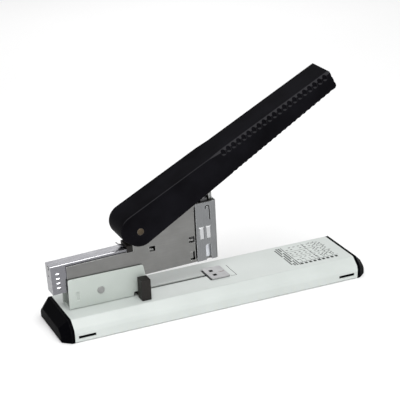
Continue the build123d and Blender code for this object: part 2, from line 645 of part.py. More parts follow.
def frame_rivets():
    """Spacer rivets that tie the side plates together under the handle."""
    rivets = []
    for x, z in FRAME_RIVETS:
        rivet = pin_y(x, z, FRAME_RIVET_R, -PLATE_OUTER, PLATE_OUTER)
        for side in (-1, 1):
            y0, y1 = sorted((side * PLATE_OUTER, side * (PLATE_OUTER + 0.9)))
            head = pin_y(x, z, FRAME_RIVET_R + 1.0, y0, y1)
            outer = head.edges().filter_by(GeomType.CIRCLE).sort_by(lambda e: abs(e.center().Y))[-1]
            rivet += fillet(outer, 0.5)
        rivets += rivet.solids()
    return in_head(Compound(rivets))


# ---------------------------------------------------------------- loading rail
def loading_rail():
    """Pull-out rail: an upside down U with pressed grip ribs and a closed end with two holes."""
    rail = block(RAIL_REAR, RAIL_FRONT, -RAIL_HALF_WIDTH, RAIL_HALF_WIDTH, RAIL_BOTTOM, RAIL_TOP)
    long_edges = rail.edges().filter_by(Axis.X).filter_by(lambda e: e.center().Z > RAIL_TOP - 0.1)
    rail = fillet(long_edges, 1.2)
    inner = RAIL_HALF_WIDTH - RAIL_SHEET
    top = RAIL_TOP - RAIL_SHEET
    rail -= block(RAIL_REAR + RAIL_SHEET, RAIL_FRONT + 1, -inner, inner, 0, top)
    rail -= pin_x(0, ROD_Z, ROD_R, RAIL_REAR - 1, RAIL_REAR + 1)
    rail -= pin_x(0, RAIL_HOLE_Z, RAIL_HOLE_R, RAIL_REAR - 1, RAIL_REAR + 1)
    for side in (-1, 1):
        y0, y1 = sorted((side * RAIL_HALF_WIDTH, side * (RAIL_HALF_WIDTH + GRIP_RIB)))
        for step in range(GRIP_RIBS):
            z = GRIP_RIB_Z + GRIP_RIB_PITCH * step
            rib = block(GRIP_RIB_X0, GRIP_RIB_X1, y0, y1, z, z + GRIP_RIB_PITCH / 2)
            crest = rib.faces().sort_by(lambda f: abs(f.center().Y))[-1].edges()
            rail += chamfer(crest, GRIP_RIB - 0.1)
    return in_head(rail)


def pusher_rod():
    """Guide rod riveted into the rail's closed end."""
    rod = pin_x(0, ROD_Z, ROD_R, RAIL_REAR, ROD_FRONT)
    return in_head(rod + pin_x(0, ROD_Z, 2.2, RAIL_REAR - 0.6, RAIL_REAR))


def pusher():
    """Saddle that presses the staples forward, guided by the rod."""
    x1 = STRIP_REAR - 0.3
    x0 = x1 - PUSHER_LENGTH
    low = HEAD_BOTTOM + SHEET + 0.4
    body = block(x0, x1, -PUSHER_HALF_WIDTH, PUSHER_HALF_WIDTH, low, ROD_Z + 2.4)
    inner = TRACK_HALF_WIDTH + 0.3
    body -= block(x0 - 1, x1 + 1, -inner, inner, 0, TRACK_TOP + 0.4)
    body -= pin_x(0, ROD_Z, ROD_R + RUNNING_GAP, x0 - 1, x1 + 1)
    return in_head(body)


def pusher_spring():
    """Long soft spring on the rod, behind the pusher."""
    rear = RAIL_REAR + RAIL_SHEET + 0.5
    front = STRIP_REAR - 0.3 - PUSHER_LENGTH - 0.5
    return in_head(coil_x(0, ROD_Z, SPRING_R, 0.35, rear, front, 4.2))


def release_latch():
    """Moulded latch over the rail: a crossbar with two ears, and arms that turn on a pin."""
    low = RAIL_TOP + 0.4
    bar = block(LATCH_REAR, LATCH_FRONT, -PLATE_OUTER, PLATE_OUTER, low, LATCH_TOP)
    for side in (-1, 1):
        y0, y1 = sorted((side * (PLATE_INNER + 0.1), side * PLATE_OUTER))
        bar += block(LATCH_REAR, LATCH_FRONT, y0, y1, LATCH_EAR_BOTTOM, low)
    half = LATCH_ARM_HALF_WIDTH
    bar += block(LATCH_FRONT, LATCH_X, -half, half, low, LATCH_Z + LATCH_LOBE_R)
    bar += pin_y(LATCH_X, LATCH_Z, LATCH_LOBE_R, -half, half)
    return in_head(bar - pin_y(LATCH_X, LATCH_Z, LATCH_PIN_R + RUNNING_GAP, -8, 8))


def latch_pin():
    return in_head(pin_y(LATCH_X, LATCH_Z, LATCH_PIN_R, -PLATE_OUTER - 0.3, PLATE_OUTER + 0.3))


def latch_finger():
    """Turned up steel finger that lifts the latch."""
    low = RAIL_TOP + 0.8
    outline = [
        (LATCH_REAR, low),
        (LATCH_REAR - 2.6, low),
        (LATCH_REAR - 5.2, low + 1.3),
        (LATCH_REAR - 7.7, low + 4.1),
        (LATCH_REAR - 7.1, low + 4.6),
        (LATCH_REAR - 4.6, low + 2.4),
        (LATCH_REAR - 2.2, low + 1.2),
        (LATCH_REAR, low + 1.2),
    ]
    return in_head(side_sheet(outline, -FINGER_HALF_WIDTH, FINGER_HALF_WIDTH))


# ---------------------------------------------------------------- driver
def driver_blade():
    """Hardened blade that shears one staple off and drives it down the nose."""
    low = HEAD_BOTTOM + STROKE + 0.1
    high = driver_contact() - CAP_PLATE
    half = BLADE_HALF_WIDTH
    return in_head(block(BLADE_BACK, BLADE_FRONT, -half, half, low, high))


def driver_contact():
    """Height of the plate that the handle's pad presses on, at rest."""
    tilt = radians(HANDLE_SLOPE - HEAD_TILT)
    return PIVOT_Z + PAD_U * sin(tilt) + PAD_V * cos(tilt) - PAD_R - 0.1


def driver_carrier():
    """Block that guides the blade between the side plates, with a raised step in its middle."""
    half = CARRIER_HALF_WIDTH
    body = block(CARRIER_REAR, BLADE_BACK, -half, half, CARRIER_Z0, CARRIER_Z1)
    return in_head(body + block(CARRIER_STEP, CARRIER_STEP_END, -half, half, CARRIER_Z1, CARRIER_TOP))


def driver_stems():
    """A flat bar and a round rod that stand on the carrier and hold up the cap."""
    top = driver_contact() - CAP_PLATE
    half = STEM_HALF_WIDTH
    bar = block(STEM_BACK, BLADE_BACK, -half, half, CARRIER_Z1, top)
    rod = pin_z(STEM_REAR_X, 0, STEM_R, CARRIER_Z1, top)
    return in_head(Compound([*bar.solids(), *rod.solids()]))


def driver_cap():
    """Plate on top of the stems, under the handle's pad."""
    top = driver_contact()
    return in_head(block(CARRIER_REAR, BLADE_BACK, -6.8, 6.8, top - CAP_PLATE, top))


# ---------------------------------------------------------------- handle
def handle_outline(wall):
    """Side view of the handle as a face: straight back, round heel, tapered grip."""
    top = HANDLE_TOP - wall
    back_r = HANDLE_BACK_R - wall
    heel_r = HANDLE_HEEL_R - wall
    back_u, back_v = HANDLE_BACK_U, HANDLE_TOP - HANDLE_BACK_R
    rear = back_u - back_r
    end = HANDLE_END - wall
    slope = radians(HANDLE_TAPER)
    heel = (heel_r * sin(slope), -heel_r * cos(slope))
    end_low = heel[1] + (end - heel[0]) * sin(slope) / cos(slope)
    chin = (heel_r * cos(radians(215)), heel_r * sin(radians(215)))
    belly = (heel_r * cos(radians(245)), heel_r * sin(radians(245)))
    edges = [
        Line((back_u, 0, top), (end, 0, top)),
        Line((end, 0, top), (end, 0, end_low)),
        Line((end, 0, end_low), (heel[0], 0, heel[1])),
        ThreePointArc((heel[0], 0, heel[1]), (belly[0], 0, belly[1]), (chin[0], 0, chin[1])),
        Line((chin[0], 0, chin[1]), (rear, 0, back_v - 1.5)),
        Line((rear, 0, back_v - 1.5), (rear, 0, back_v)),
        ThreePointArc(
            (rear, 0, back_v),
            (back_u - back_r * cos(radians(45)), 0, back_v + back_r * sin(radians(45))),
            (back_u, 0, top),
        ),
    ]
    return make_face(edges)


def edge_facet(side, u, width):
    """Triangle that cuts a facet of the given width off one top edge, at a distance along the handle."""
    edge_y = side * (HANDLE_HALF_WIDTH + 1)
    points = [
        (u, edge_y, HANDLE_TOP - width - 1),
        (u, edge_y, HANDLE_TOP + 1),
        (u, edge_y - side * (width + 2), HANDLE_TOP + 1),
    ]
    return make_face(Polyline(points, close=True))


def grip_scallops():
    """Round ended scallops along both top edges, and waves across the underside and the end."""
    half = HANDLE_HALF_WIDTH
    rise = sin(radians(HANDLE_TAPER)) / cos(radians(HANDLE_TAPER))
    count = int((HANDLE_END - GRIP_PITCH - GRIP_START) / GRIP_PITCH)
    cuts = []
    for step in range(count + 1):
        u = GRIP_START + GRIP_PITCH * step
        low = -HANDLE_HEEL_R + (u + 1.1) * rise
        for side in (-1, 1):
            y = side * (half + GRIP_R - GRIP_DEPTH)
            foot = HANDLE_TOP - GRIP_BITE
            cuts.append(pin_z(u, y, GRIP_R, foot, HANDLE_TOP + 1))
            cuts.append(Pos(u, y, foot) * Sphere(GRIP_R))
        under_v = low - GRIP_UNDER_R + GRIP_UNDER_DEPTH
        cuts.append(pin_y(u, under_v, GRIP_UNDER_R, -half - 1, half + 1))
    end_u = HANDLE_END + GRIP_END_R - GRIP_END_DEPTH
    for v in GRIP_END_VS:
        cuts.append(pin_y(end_u, v, GRIP_END_R, -half - 1, half + 1))
    return cuts


def handle_shell():
    """Moulded grip: a long upside down trough, faceted and scalloped along both top edges."""
    half = HANDLE_HALF_WIDTH
    shell = Pos(0, -half, 0) * extrude(handle_outline(0), amount=2 * half, dir=(0, 1, 0))
    end_edges = shell.edges().filter_by(Axis.Y).filter_by(lambda e: e.center().X > HANDLE_END - 1)
    low_end, high_end = end_edges.sort_by(Axis.Z)
    shell = fillet(low_end, 3.5)
    high_end = shell.edges().filter_by(Axis.Y).sort_by(lambda e: e.center().X + e.center().Z)[-1]
    shell = fillet(high_end, 1.5)
    rims = shell.edges().filter_by(lambda e: abs(abs(e.center().Y) - half) < 0.01 and e.center().Z > 3.0)
    shell = fillet(rims, EDGE_R)
    for side in (-1, 1):
        ramp = [edge_facet(side, FACET_START, EDGE_R / 2), edge_facet(side, FACET_FULL, FACET)]
        shell -= loft(ramp, ruled=True)
        full = edge_facet(side, FACET_FULL, FACET)
        shell -= extrude(full, amount=HANDLE_END - FACET_FULL + 1, dir=(1, 0, 0))
    inner = CORE_OUTER
    hollow = Pos(0, -inner, 0) * extrude(handle_outline(HANDLE_WALL), amount=2 * inner, dir=(0, 1, 0))
    shell -= hollow
    shell -= block(-HANDLE_END, MOUTH_END, -inner, inner, -HANDLE_END, MOUTH_TOP)
    shell -= grip_scallops()
    shell -= pin_y(0, 0, PIVOT_R + RUNNING_GAP, -half - 1, half + 1)
    for u in HANDLE_SCREWS:
        shell -= pin_z(u, 0, 1.5, 0, HANDLE_TOP - 1.0)
    return in_handle(shell)


def handle_core():
    """Steel lever inside the grip: a channel that turns on the pivot pin."""
    top = HANDLE_TOP - HANDLE_WALL
    outline = [
        (-3.0, top),
        (CORE_END, top),
        (CORE_END, top - 9.0),
        (40.0, -4.0),
        (-6.0, -6.0),
        (-10.0, -3.0),
        (-10.0, top - 3.4),
    ]
    core = side_sheet(outline, -CORE_OUTER, CORE_OUTER)
    core -= block(-20.0, CORE_END + 1, -CORE_INNER, CORE_INNER, -20.0, top - CORE_SHEET)
    core -= pin_y(0, 0, PIVOT_R + RUNNING_GAP, -20, 20)
    for u in HANDLE_SCREWS:
        core -= pin_z(u, 0, 1.6, 0, HANDLE_TOP)
    return in_handle(core)


def pressure_pad():
    """Rounded steel pad under the core's web that presses on the driver."""
    top = HANDLE_TOP - HANDLE_WALL - CORE_SHEET
    pad = block(PAD_U - PAD_R, PAD_U + PAD_R, -6.0, 6.0, PAD_V, top)
    pad += pin_y(PAD_U, PAD_V, PAD_R, -6.0, 6.0)
    return in_handle(pad - block(PAD_U - 9, PAD_U + 9, -9.0, 9.0, top, top + 9))


def handle_screws():
    seat = HANDLE_TOP - HANDLE_WALL - CORE_SHEET
    screws = []
    for u in HANDLE_SCREWS:
        screws += pan_screw(u, 0, 2.8, seat - 1.4, seat, 1.45, HANDLE_TOP - 1.2).solids()
    return in_handle(Compound(screws))


os.makedirs("parts", exist_ok=True)
write("base_cover", base_cover())
write("base_floor_plate", floor_plate())
write("front_end_cap", end_cap())
write("rear_end_cap", end_cap().mirror(Plane.YZ))
write("rubber_feet", rubber_feet())
write("base_screws", base_screws())
write("anvil_plate", anvil_plate())
write("anvil_support", anvil_support())
write("anvil_screws", anvil_screws())
write("head_bracket", head_bracket())
write("bracket_rivets", bracket_rivets())
write("head_hinge_pin", hinge_pin())
write("hinge_washers", hinge_washers())
write("head_return_spring", head_return_spring())
write("paper_stop", paper_stop())
write("stop_clamp", stop_clamp())
write("stop_screw", stop_screw())
write("side_plate_near", side_plate(-1))
write("side_plate_far", side_plate(1))
write("nose_housing", nose_housing())
write("magazine_floor", magazine_floor())
write("staple_track", staple_track())
write("staple_strip", staple_strip())
write("handle_pivot_pin", handle_pivot_pin())
write("pivot_spacers", pivot_spacers())
write("handle_return_spring", handle_spring())
write("frame_rivets", frame_rivets())
write("loading_rail", loading_rail())
write("pusher_rod", pusher_rod())
write("staple_pusher", pusher())
write("pusher_spring", pusher_spring())
write("release_latch", release_latch())
write("latch_pin", latch_pin())
write("latch_finger", latch_finger())
write("driver_blade", driver_blade())
write("driver_carrier", driver_carrier())
write("driver_stems", driver_stems())
write("driver_cap", driver_cap())
write("handle_shell", handle_shell())
write("handle_core", handle_core())
write("pressure_pad", pressure_pad())
write("handle_screws", handle_screws())
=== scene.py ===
import math

import bmesh
import bpy
from mathutils import Matrix, Vector


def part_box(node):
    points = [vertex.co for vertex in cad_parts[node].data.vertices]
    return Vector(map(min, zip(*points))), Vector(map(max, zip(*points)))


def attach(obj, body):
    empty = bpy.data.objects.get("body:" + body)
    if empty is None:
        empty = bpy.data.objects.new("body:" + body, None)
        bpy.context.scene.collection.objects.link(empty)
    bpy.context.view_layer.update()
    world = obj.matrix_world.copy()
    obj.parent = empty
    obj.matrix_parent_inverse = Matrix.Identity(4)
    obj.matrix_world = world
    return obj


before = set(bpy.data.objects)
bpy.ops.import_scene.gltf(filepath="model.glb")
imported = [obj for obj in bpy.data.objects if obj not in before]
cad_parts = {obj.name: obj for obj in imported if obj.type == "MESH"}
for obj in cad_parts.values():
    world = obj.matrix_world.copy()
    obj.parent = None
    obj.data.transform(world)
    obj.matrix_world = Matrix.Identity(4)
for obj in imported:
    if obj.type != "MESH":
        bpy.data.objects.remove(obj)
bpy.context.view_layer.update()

MM = 0.001

# ---- camera: where it looks, from which side, and how far away it stands ----
CAMERA_TARGET = Vector((-2.8, -1.7, 104.7)) * MM
CAMERA_AZIMUTH = math.radians(-22.73)
CAMERA_ELEVATION = math.radians(21.49)
CAMERA_ROLL = math.radians(-2.56)
CAMERA_DISTANCE = 1.369
CAMERA_LENS = 124.57
CAMERA_NEAR, CAMERA_FAR = 0.01, 50.0

# ---- studio, in metres and watts ----
SKY_STRENGTH = 0.72
OBJECT_MIDDLE = (0, 0, 0.05)
SOFTBOXES = {
    "overhead_light": dict(place=(-0.15, -0.7, 1.4), aim=OBJECT_MIDDLE, width=1.0, height=0.8, watts=13.0),
    "front_light": dict(place=(-0.35, -1.7, 0.7), aim=OBJECT_MIDDLE, width=1.5, height=0.6, watts=5.0),
    "back_light": dict(place=(0.48, 1.29, 0.62), aim=(-0.05, 0, 0.05), width=0.7, height=0.4, watts=1.5),
}
FLOOR_REACH = 12.0

# ---- finishes: two close tones of each colour, how it wears, and the painted highlights and shade on it ----
BEVEL_SAMPLES = 6
PAINTS = {
    "white_paint": dict(
        light=(0.565, 0.60, 0.58), dark=(0.52, 0.555, 0.535),
        edge=(0.44, 0.46, 0.45), wear_and_highlight_range=(0.0, 0.6),
    ),
    # bracket_paint is the base's white coat set darker as painted shade, and its bright edge tone is a
    # painted highlight
    "bracket_paint": dict(
        light=(0.46, 0.50, 0.47), dark=(0.42, 0.46, 0.43),
        edge=(0.78, 0.82, 0.79), wear_and_highlight_range=(0.5, 1.0),
    ),
}
PLASTICS = {
    "cap_plastic": dict(
        light=(0.002, 0.002, 0.0027), dark=(0.0012, 0.0012, 0.0018), rough=0.40, gloss=0.006,
    ),
    "handle_plastic": dict(
        light=(0.0068, 0.0066, 0.0084), dark=(0.0038, 0.0036, 0.0045), rough=0.36,
        # a painted highlight, with some wear, along the handle's up-facing bends
        gloss=0.004, bend_highlight_and_wear=0.8,
    ),
    "stop_plastic": dict(light=(0.015, 0.013, 0.0115), dark=(0.009, 0.008, 0.007), rough=0.5),
    "nylon": dict(light=(0.72, 0.71, 0.66), dark=(0.64, 0.63, 0.58), rough=0.45, gloss=0.5),
    "rubber": dict(
        light=(0.028, 0.028, 0.028), dark=(0.016, 0.016, 0.016), rough=0.75,
        grain=1400, depth=0.15 * MM,
    ),
    "print_ink": dict(light=(0.034, 0.04, 0.037), dark=(0.022, 0.026, 0.023), rough=0.6),
    "faded_ink": dict(light=(0.20, 0.14, 0.12), dark=(0.15, 0.10, 0.09), rough=0.6),
}
ALONG_X, ALONG_Z, NO_GRAIN = (0.06, 1, 1), (1, 1, 0.06), (1, 1, 1)
METALS = {
    "satin_steel": dict(light=(0.215, 0.215, 0.21), dark=(0.18, 0.18, 0.175), rough=0.34),
    "plated_steel": dict(
        light=(0.23, 0.235, 0.24), dark=(0.19, 0.195, 0.20), rough=0.24,
        # painted highlight on the nose's outermost ribbed faces and, with some wear, on its bends
        brushed=ALONG_Z, crested="nose_housing", bend_highlight_and_wear=0.5,
    ),
    "bright_plating": dict(
        # painted highlight, with some wear, along the rail's folded top edges
        light=(0.225, 0.225, 0.24), dark=(0.185, 0.185, 0.20), rough=0.22, bend_highlight_and_wear=1.0,
    ),
    "zinc_steel": dict(
        light=(0.33, 0.335, 0.33), dark=(0.26, 0.265, 0.26), rough=0.36, brushed=NO_GRAIN, grain=500,
    ),
    "spring_steel": dict(
        light=(0.10, 0.10, 0.105), dark=(0.06, 0.06, 0.06), rough=0.34, brushed=NO_GRAIN, grain=800,
    ),
    "staple_wire": dict(
        light=(0.80, 0.82, 0.86), dark=(0.66, 0.68, 0.72), rough=0.42,
        brushed=(0.02, 1, 1), grain=2500,
    ),
    "brass": dict(
        light=(0.105, 0.082, 0.055), dark=(0.055, 0.044, 0.032), rough=0.42,
        brushed=NO_GRAIN, grain=1100,
    ),
}
# the outermost faces of a crested node take a painted highlight by the last of these shares
CREST_START, CREST_FULL, CREST_HIGHLIGHT_SHARE = 0.6 * MM, 0.2 * MM, 0.7
# the anvil's third tone is painted shade for the inside of its two pockets
ANVIL_LIGHT, ANVIL_DARK, ANVIL_POCKET_SHADE = (0.39, 0.39, 0.395), (0.32, 0.32, 0.325), (0.006, 0.007, 0.007)
POCKET_DEPTH, POCKET_FADE = 0.2 * MM, 0.1 * MM
POCKET_MARGIN, POCKET_MARGIN_END = 1.0 * MM, 1.6 * MM
FLOOR_TONES = (0.97, 0.97, 0.97), (0.985, 0.985, 0.985)

# ---- printed marks on the base, in millimetres ----
INK_SUNK, INK_PROUD = 0.02, 0.04
TABLE_LEFT, TABLE_RIGHT = 88.0, 143.0
TABLE_LOW, TABLE_HIGH = -23.0, 24.5
UPRIGHT_RULES = ((9.0, 0.7), (33.0, 0.5))
LEVEL_RULE_SHARES, LEVEL_RULE_WIDTH = (0.12, 0.45, 0.72), 0.45
ROW_SHARES = (0.93, 0.82, 0.63, 0.54, 0.36, 0.27)
FOOT_COLUMNS, FOOT_PITCH = 9, 5.0
LABEL_REACH, LABEL_GAP = 7.3, 0.6
LABEL_WIDE, LABEL_THIN, LABEL_PROUD = 0.5, 0.4, 0.05
LABEL_NEAR_MARGIN, LABEL_FAR_MARGIN = 0.8, 1.0

# ---- crescent printed on the anvil, in millimetres and degrees ----
ARC_X, ARC_Y, ARC_RADIUS, ARC_HALF_WIDTH = 16.2, 1.5, 3.1, 0.55
ARC_FLATTENING, ARC_TIP = 0.8, 0.08
ARC_START, ARC_SWEEP, ARC_STEPS = 200, 150, 16


# ---------------------------------------------------------------- camera and light
def make_camera():
    """A long lens that looks down on the stapler from its rear near side, slightly rolled."""
    back = Vector((
        math.cos(CAMERA_ELEVATION) * math.sin(CAMERA_AZIMUTH),
        -math.cos(CAMERA_ELEVATION) * math.cos(CAMERA_AZIMUTH),
        math.sin(CAMERA_ELEVATION),
    ))
    level = Vector((0, 0, 1)).cross(back).normalized()
    upright = back.cross(level)
    right = level * math.cos(CAMERA_ROLL) + upright * math.sin(CAMERA_ROLL)
    up = upright * math.cos(CAMERA_ROLL) - level * math.sin(CAMERA_ROLL)
    data = bpy.data.cameras.new("camera")
    data.lens = CAMERA_LENS
    data.clip_start = CAMERA_NEAR
    data.clip_end = CAMERA_FAR
    camera = bpy.data.objects.new("camera", data)
    camera.matrix_world = Matrix.Translation(CAMERA_TARGET + back * CAMERA_DISTANCE) @ Matrix((
        (right.x, up.x, back.x, 0),
        (right.y, up.y, back.y, 0),
        (right.z, up.z, back.z, 0),
        (0, 0, 0, 1),
    ))
    bpy.context.scene.collection.objects.link(camera)
    bpy.context.scene.camera = camera


def softbox(name, place, aim, width, height, watts):
    """A rectangular studio light that faces a point."""
    data = bpy.data.lights.new(name, "AREA")
    data.shape = "RECTANGLE"
    data.size = width
    data.size_y = height
    data.energy = watts
    light = bpy.data.objects.new(name, data)
    light.location = place
    light.rotation_mode = "QUATERNION"
    light.rotation_quaternion = (Vector(aim) - Vector(place)).to_track_quat("-Z", "Y")
    bpy.context.scene.collection.objects.link(light)


def make_studio():
    """Soft daylight all round, and one softbox overhead, one in front and a small one behind."""
    world = bpy.data.worlds.new("studio")
    world.use_nodes = True
    sky = world.node_tree.nodes["Background"]
    sky.inputs["Color"].default_value = (1.0, 1.0, 1.0, 1)
    sky.inputs["Strength"].default_value = SKY_STRENGTH
    bpy.context.scene.world = world
    bpy.context.scene.view_settings.view_transform = "Standard"
    for name, settings in SOFTBOXES.items():
        softbox(name, **settings)


# ---------------------------------------------------------------- materials
class Finish:
    """A Principled material whose colour, roughness and bump come from grain in the object's own space."""

    def __init__(self, name, metallic=0.0):
        self.material = bpy.data.materials.new(name)
        self.material.use_nodes = True
        self.tree = self.material.node_tree
        self.shader = self.tree.nodes["Principled BSDF"]
        self.shader.inputs["Metallic"].default_value = metallic
        local = self.add("ShaderNodeTexCoord")
        self.place, self.turned = local.outputs["Object"], local.outputs["Normal"]

    def add(self, kind, **settings):
        """A new node with some of its properties set."""
        node = self.tree.nodes.new(kind)
        for key, value in settings.items():
            setattr(node, key, value)
        return node

    def join(self, source, node, socket):
        """Link an output to a node's input."""
        self.tree.links.new(source, node.inputs[socket])

    def grain(self, per_metre, stretch=NO_GRAIN, detail=2.0):
        """Noise from 0 to 1, so many grains to the metre, drawn out along an axis by a small stretch."""
        spread = self.add("ShaderNodeMapping")
        spread.inputs["Scale"].default_value = stretch
        self.join(self.place, spread, "Vector")
        noise = self.add("ShaderNodeTexNoise")
        noise.inputs["Scale"].default_value = per_metre
        noise.inputs["Detail"].default_value = detail
        self.join(spread.outputs["Vector"], noise, "Vector")
        return noise.outputs["Fac"]

    def remap(self, value, low, high, out_low, out_high):
        """Stretch one range of a value onto another."""
        node = self.add("ShaderNodeMapRange")
        node.inputs["From Min"].default_value = low
        node.inputs["From Max"].default_value = high
        node.inputs["To Min"].default_value = out_low
        node.inputs["To Max"].default_value = out_high
        self.join(value, node, "Value")
        return node.outputs["Result"]

    def parts(self, vector):
        """The X, Y and Z of a vector, as a node's outputs."""
        node = self.add("ShaderNodeSeparateXYZ")
        self.join(vector, node, "Vector")
        return node.outputs

    def size(self, value):
        """A value without its sign."""
        node = self.add("ShaderNodeMath", operation="ABSOLUTE")
        self.join(value, node, 0)
        return node.outputs[0]

    def times(self, a, b):
        """The product of two values."""
        node = self.add("ShaderNodeMath", operation="MULTIPLY")
        self.join(a, node, 0)
        self.join(b, node, 1)
        return node.outputs[0]

    def blend(self, share, a, b):
        """Colour a turning into colour b; either may be a socket."""
        node = self.add("ShaderNodeMix", data_type="RGBA")
        self.join(share, node, 0)
        for socket, colour in ((6, a), (7, b)):
            if isinstance(colour, bpy.types.NodeSocket):
                self.join(colour, node, socket)
            else:
                node.inputs[socket].default_value = (*colour, 1)
        return node.outputs[2]

    def softened(self, radius):
        """The normal that the surface has once its edges are broken by a small radius."""
        node = self.add("ShaderNodeBevel", samples=BEVEL_SAMPLES)
        node.inputs["Radius"].default_value = radius
        return node.outputs["Normal"]

    def edges(self, radius, ragged):
        """1 along sharp edges and 0 on flat ground, broken up by some grain."""
        facing = self.add("ShaderNodeNewGeometry")
        turn = self.add("ShaderNodeVectorMath", operation="DOT_PRODUCT")
        self.join(self.softened(radius), turn, 0)
        self.join(facing.outputs["Normal"], turn, 1)
        return self.times(self.remap(turn.outputs["Value"], 0.998, 0.9, 0, 1), ragged)

    def bends(self, share):
        """The given share on folded top edges, which face up and sideways, and 0 on flat ground; used for
        a painted highlight with some wear.
        """
        facing = self.parts(self.turned)
        up = self.remap(facing["Z"], 0.4, 0.55, 0, share)
        return self.times(up, self.remap(self.size(facing["Y"]), 0.15, 0.4, 0, 1))

    def mottled(self, light, dark, grain):
        """Two close tones of a metal in soft patches."""
        return self.blend(self.remap(grain, 0.3, 0.7, 0, 1), light, dark)

    def handled(self, first, second, grain):
        """Two close tones of a coat or a moulding, in the patches where hands hold it."""
        return self.blend(self.remap(grain, 0.35, 0.7, 0, 1), first, second)

    def colour(self, socket):
        """Set the surface's colour."""
        self.join(socket, self.shader, "Base Color")

    def roughness(self, value, low, high):
        """Roughness that follows a grain between two limits."""
        self.join(self.remap(value, 0.3, 0.7, low, high), self.shader, "Roughness")

    def relief(self, radius, value, depth, strength):
        """Edges broken by a small radius, under bump of the given depth in metres."""
        node = self.add("ShaderNodeBump")
        node.inputs["Strength"].default_value = strength
        node.inputs["Distance"].default_value = depth
        self.join(value, node, "Height")
        self.join(self.softened(radius), node, "Normal")
        self.join(node.outputs["Normal"], self.shader, "Normal")


def scaled(colour, factor, extra):
    """A colour multiplied and then lifted, to 1 at the most."""
    return tuple(min(1.0, factor * c + extra) for c in colour)


def paint(name, light, dark, edge, wear_and_highlight_range):
    """Powder coat: fine orange peel, faint greying by handling, and another tone along its edges, which on
    the bracket is a painted highlight.
    """
    finish = Finish(name)
    handling = finish.grain(22, detail=5)
    peel = finish.grain(1500, detail=2)
    tone = finish.handled(light, dark, handling)
    # edge tone: darker wear on the white coat, a painted highlight on the bracket
    wear_and_highlight_mask = finish.edges(0.5 * MM, finish.remap(finish.grain(300, detail=4), 0.45, 0.7, *wear_and_highlight_range))
    finish.colour(finish.blend(wear_and_highlight_mask, tone, edge))
    finish.roughness(peel, 0.34, 0.46)
    finish.relief(0.5 * MM, peel, 0.06 * MM, 0.35)
    return finish.material


def moulded(name, light, dark, rough, grain=2600, depth=0.08 * MM, gloss=0.22, bend_highlight_and_wear=0.0):
    """Moulded plastic: spark-eroded texture, and a greyer tone, partly wear and partly painted highlight,
    at its edges and, by the given share, on its bends.
    """
    finish = Finish(name)
    finish.shader.inputs["Specular IOR Level"].default_value = gloss
    texture = finish.grain(grain, detail=3)
    handling = finish.grain(35, detail=4)
    tone = finish.handled(dark, light, handling)
    # the greyer edge tone doubles as a painted highlight
    pale = scaled(light, 1.6, 0.024)
    wear_and_highlight_mask = finish.edges(0.9 * MM, finish.remap(finish.grain(250, detail=4), 0.4, 0.7, 0.3, 0.8))
    skin = finish.blend(wear_and_highlight_mask, tone, pale)
    # painted highlight, with some wear, on the up-facing bends
    if bend_highlight_and_wear:
        skin = finish.blend(finish.bends(bend_highlight_and_wear), skin, pale)
    finish.colour(skin)
    finish.roughness(handling, rough - 0.06, rough + 0.08)
    finish.relief(0.6 * MM, texture, depth, 0.5)
    return finish.material


def metal(name, light, dark, rough, brushed=ALONG_X, grain=900, crested=None, bend_highlight_and_wear=0.0):
    """Plated or bare steel with a drawn grain, soft mottling and brighter broken edges, partly wear and
    partly painted highlight.

    The outermost faces of a crested node, such as its pressed ribs, take a painted highlight as well, and
    so, by the given share, do its bends, with some wear.
    """
    finish = Finish(name, metallic=1.0)
    lines = finish.grain(grain, stretch=brushed, detail=4)
    tone = finish.mottled(light, dark, finish.grain(60, detail=5))
    drawn = finish.blend(finish.remap(lines, 0.3, 0.75, 0, 0.5), tone, dark)
    bright = scaled(light, 1.8, 0.22)
    # brighter edges: partly wear, partly painted highlight
    wear_and_highlight_mask = finish.edges(0.6 * MM, finish.remap(finish.grain(400, detail=3), 0.35, 0.65, 0.4, 0.95))
    skin = finish.blend(wear_and_highlight_mask, drawn, bright)
    # painted highlight on the outermost faces of the crested node
    if crested:
        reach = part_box(crested)[1].y
        side = finish.size(finish.parts(finish.place)["Y"])
        crest_highlight = finish.remap(side, reach - CREST_START, reach - CREST_FULL, 0, CREST_HIGHLIGHT_SHARE)
        skin = finish.blend(crest_highlight, skin, bright)
    # painted highlight, with some wear, on the up-facing bends
    if bend_highlight_and_wear:
        skin = finish.blend(finish.bends(bend_highlight_and_wear), skin, bright)
    finish.colour(skin)
    finish.roughness(lines, rough - 0.06, rough + 0.1)
    finish.relief(0.4 * MM, lines, 0.03 * MM, 0.35)
    return finish.material


def anvil_steel():
    """Ground plate whose two pockets, below its top face, are darkened by painted shade."""
    finish = Finish("anvil_steel", metallic=1.0)
    lines = finish.grain(900, stretch=(0.1, 1, 1), detail=4)
    tone = finish.mottled(ANVIL_LIGHT, ANVIL_DARK, finish.grain(90, detail=5))
    low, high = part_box("anvil_plate")
    place = finish.parts(finish.place)
    # painted shade: below the rim and inside the margins, the pockets turn near-black
    rim = high.z - POCKET_DEPTH
    pocket_shade = finish.remap(place["Z"], rim, rim - POCKET_FADE, 0, 1)
    inset = finish.remap(place["X"], low.x + POCKET_MARGIN, low.x + POCKET_MARGIN_END, 0, 1)
    near = finish.remap(place["Y"], low.y + POCKET_MARGIN, low.y + POCKET_MARGIN_END, 0, 1)
    finish.colour(finish.blend(finish.times(pocket_shade, finish.times(inset, near)), tone, ANVIL_POCKET_SHADE))
    finish.roughness(lines, 0.34, 0.46)
    finish.relief(0.4 * MM, lines, 0.03 * MM, 0.35)
    return finish.material


def make_finishes():
    """One material for each slot of the record, and two inks."""
    finishes = {"anvil_steel": anvil_steel()}
    for make, kinds in ((paint, PAINTS), (moulded, PLASTICS), (metal, METALS)):
        for name, settings in kinds.items():
            finishes[name] = make(name, **settings)
    return finishes


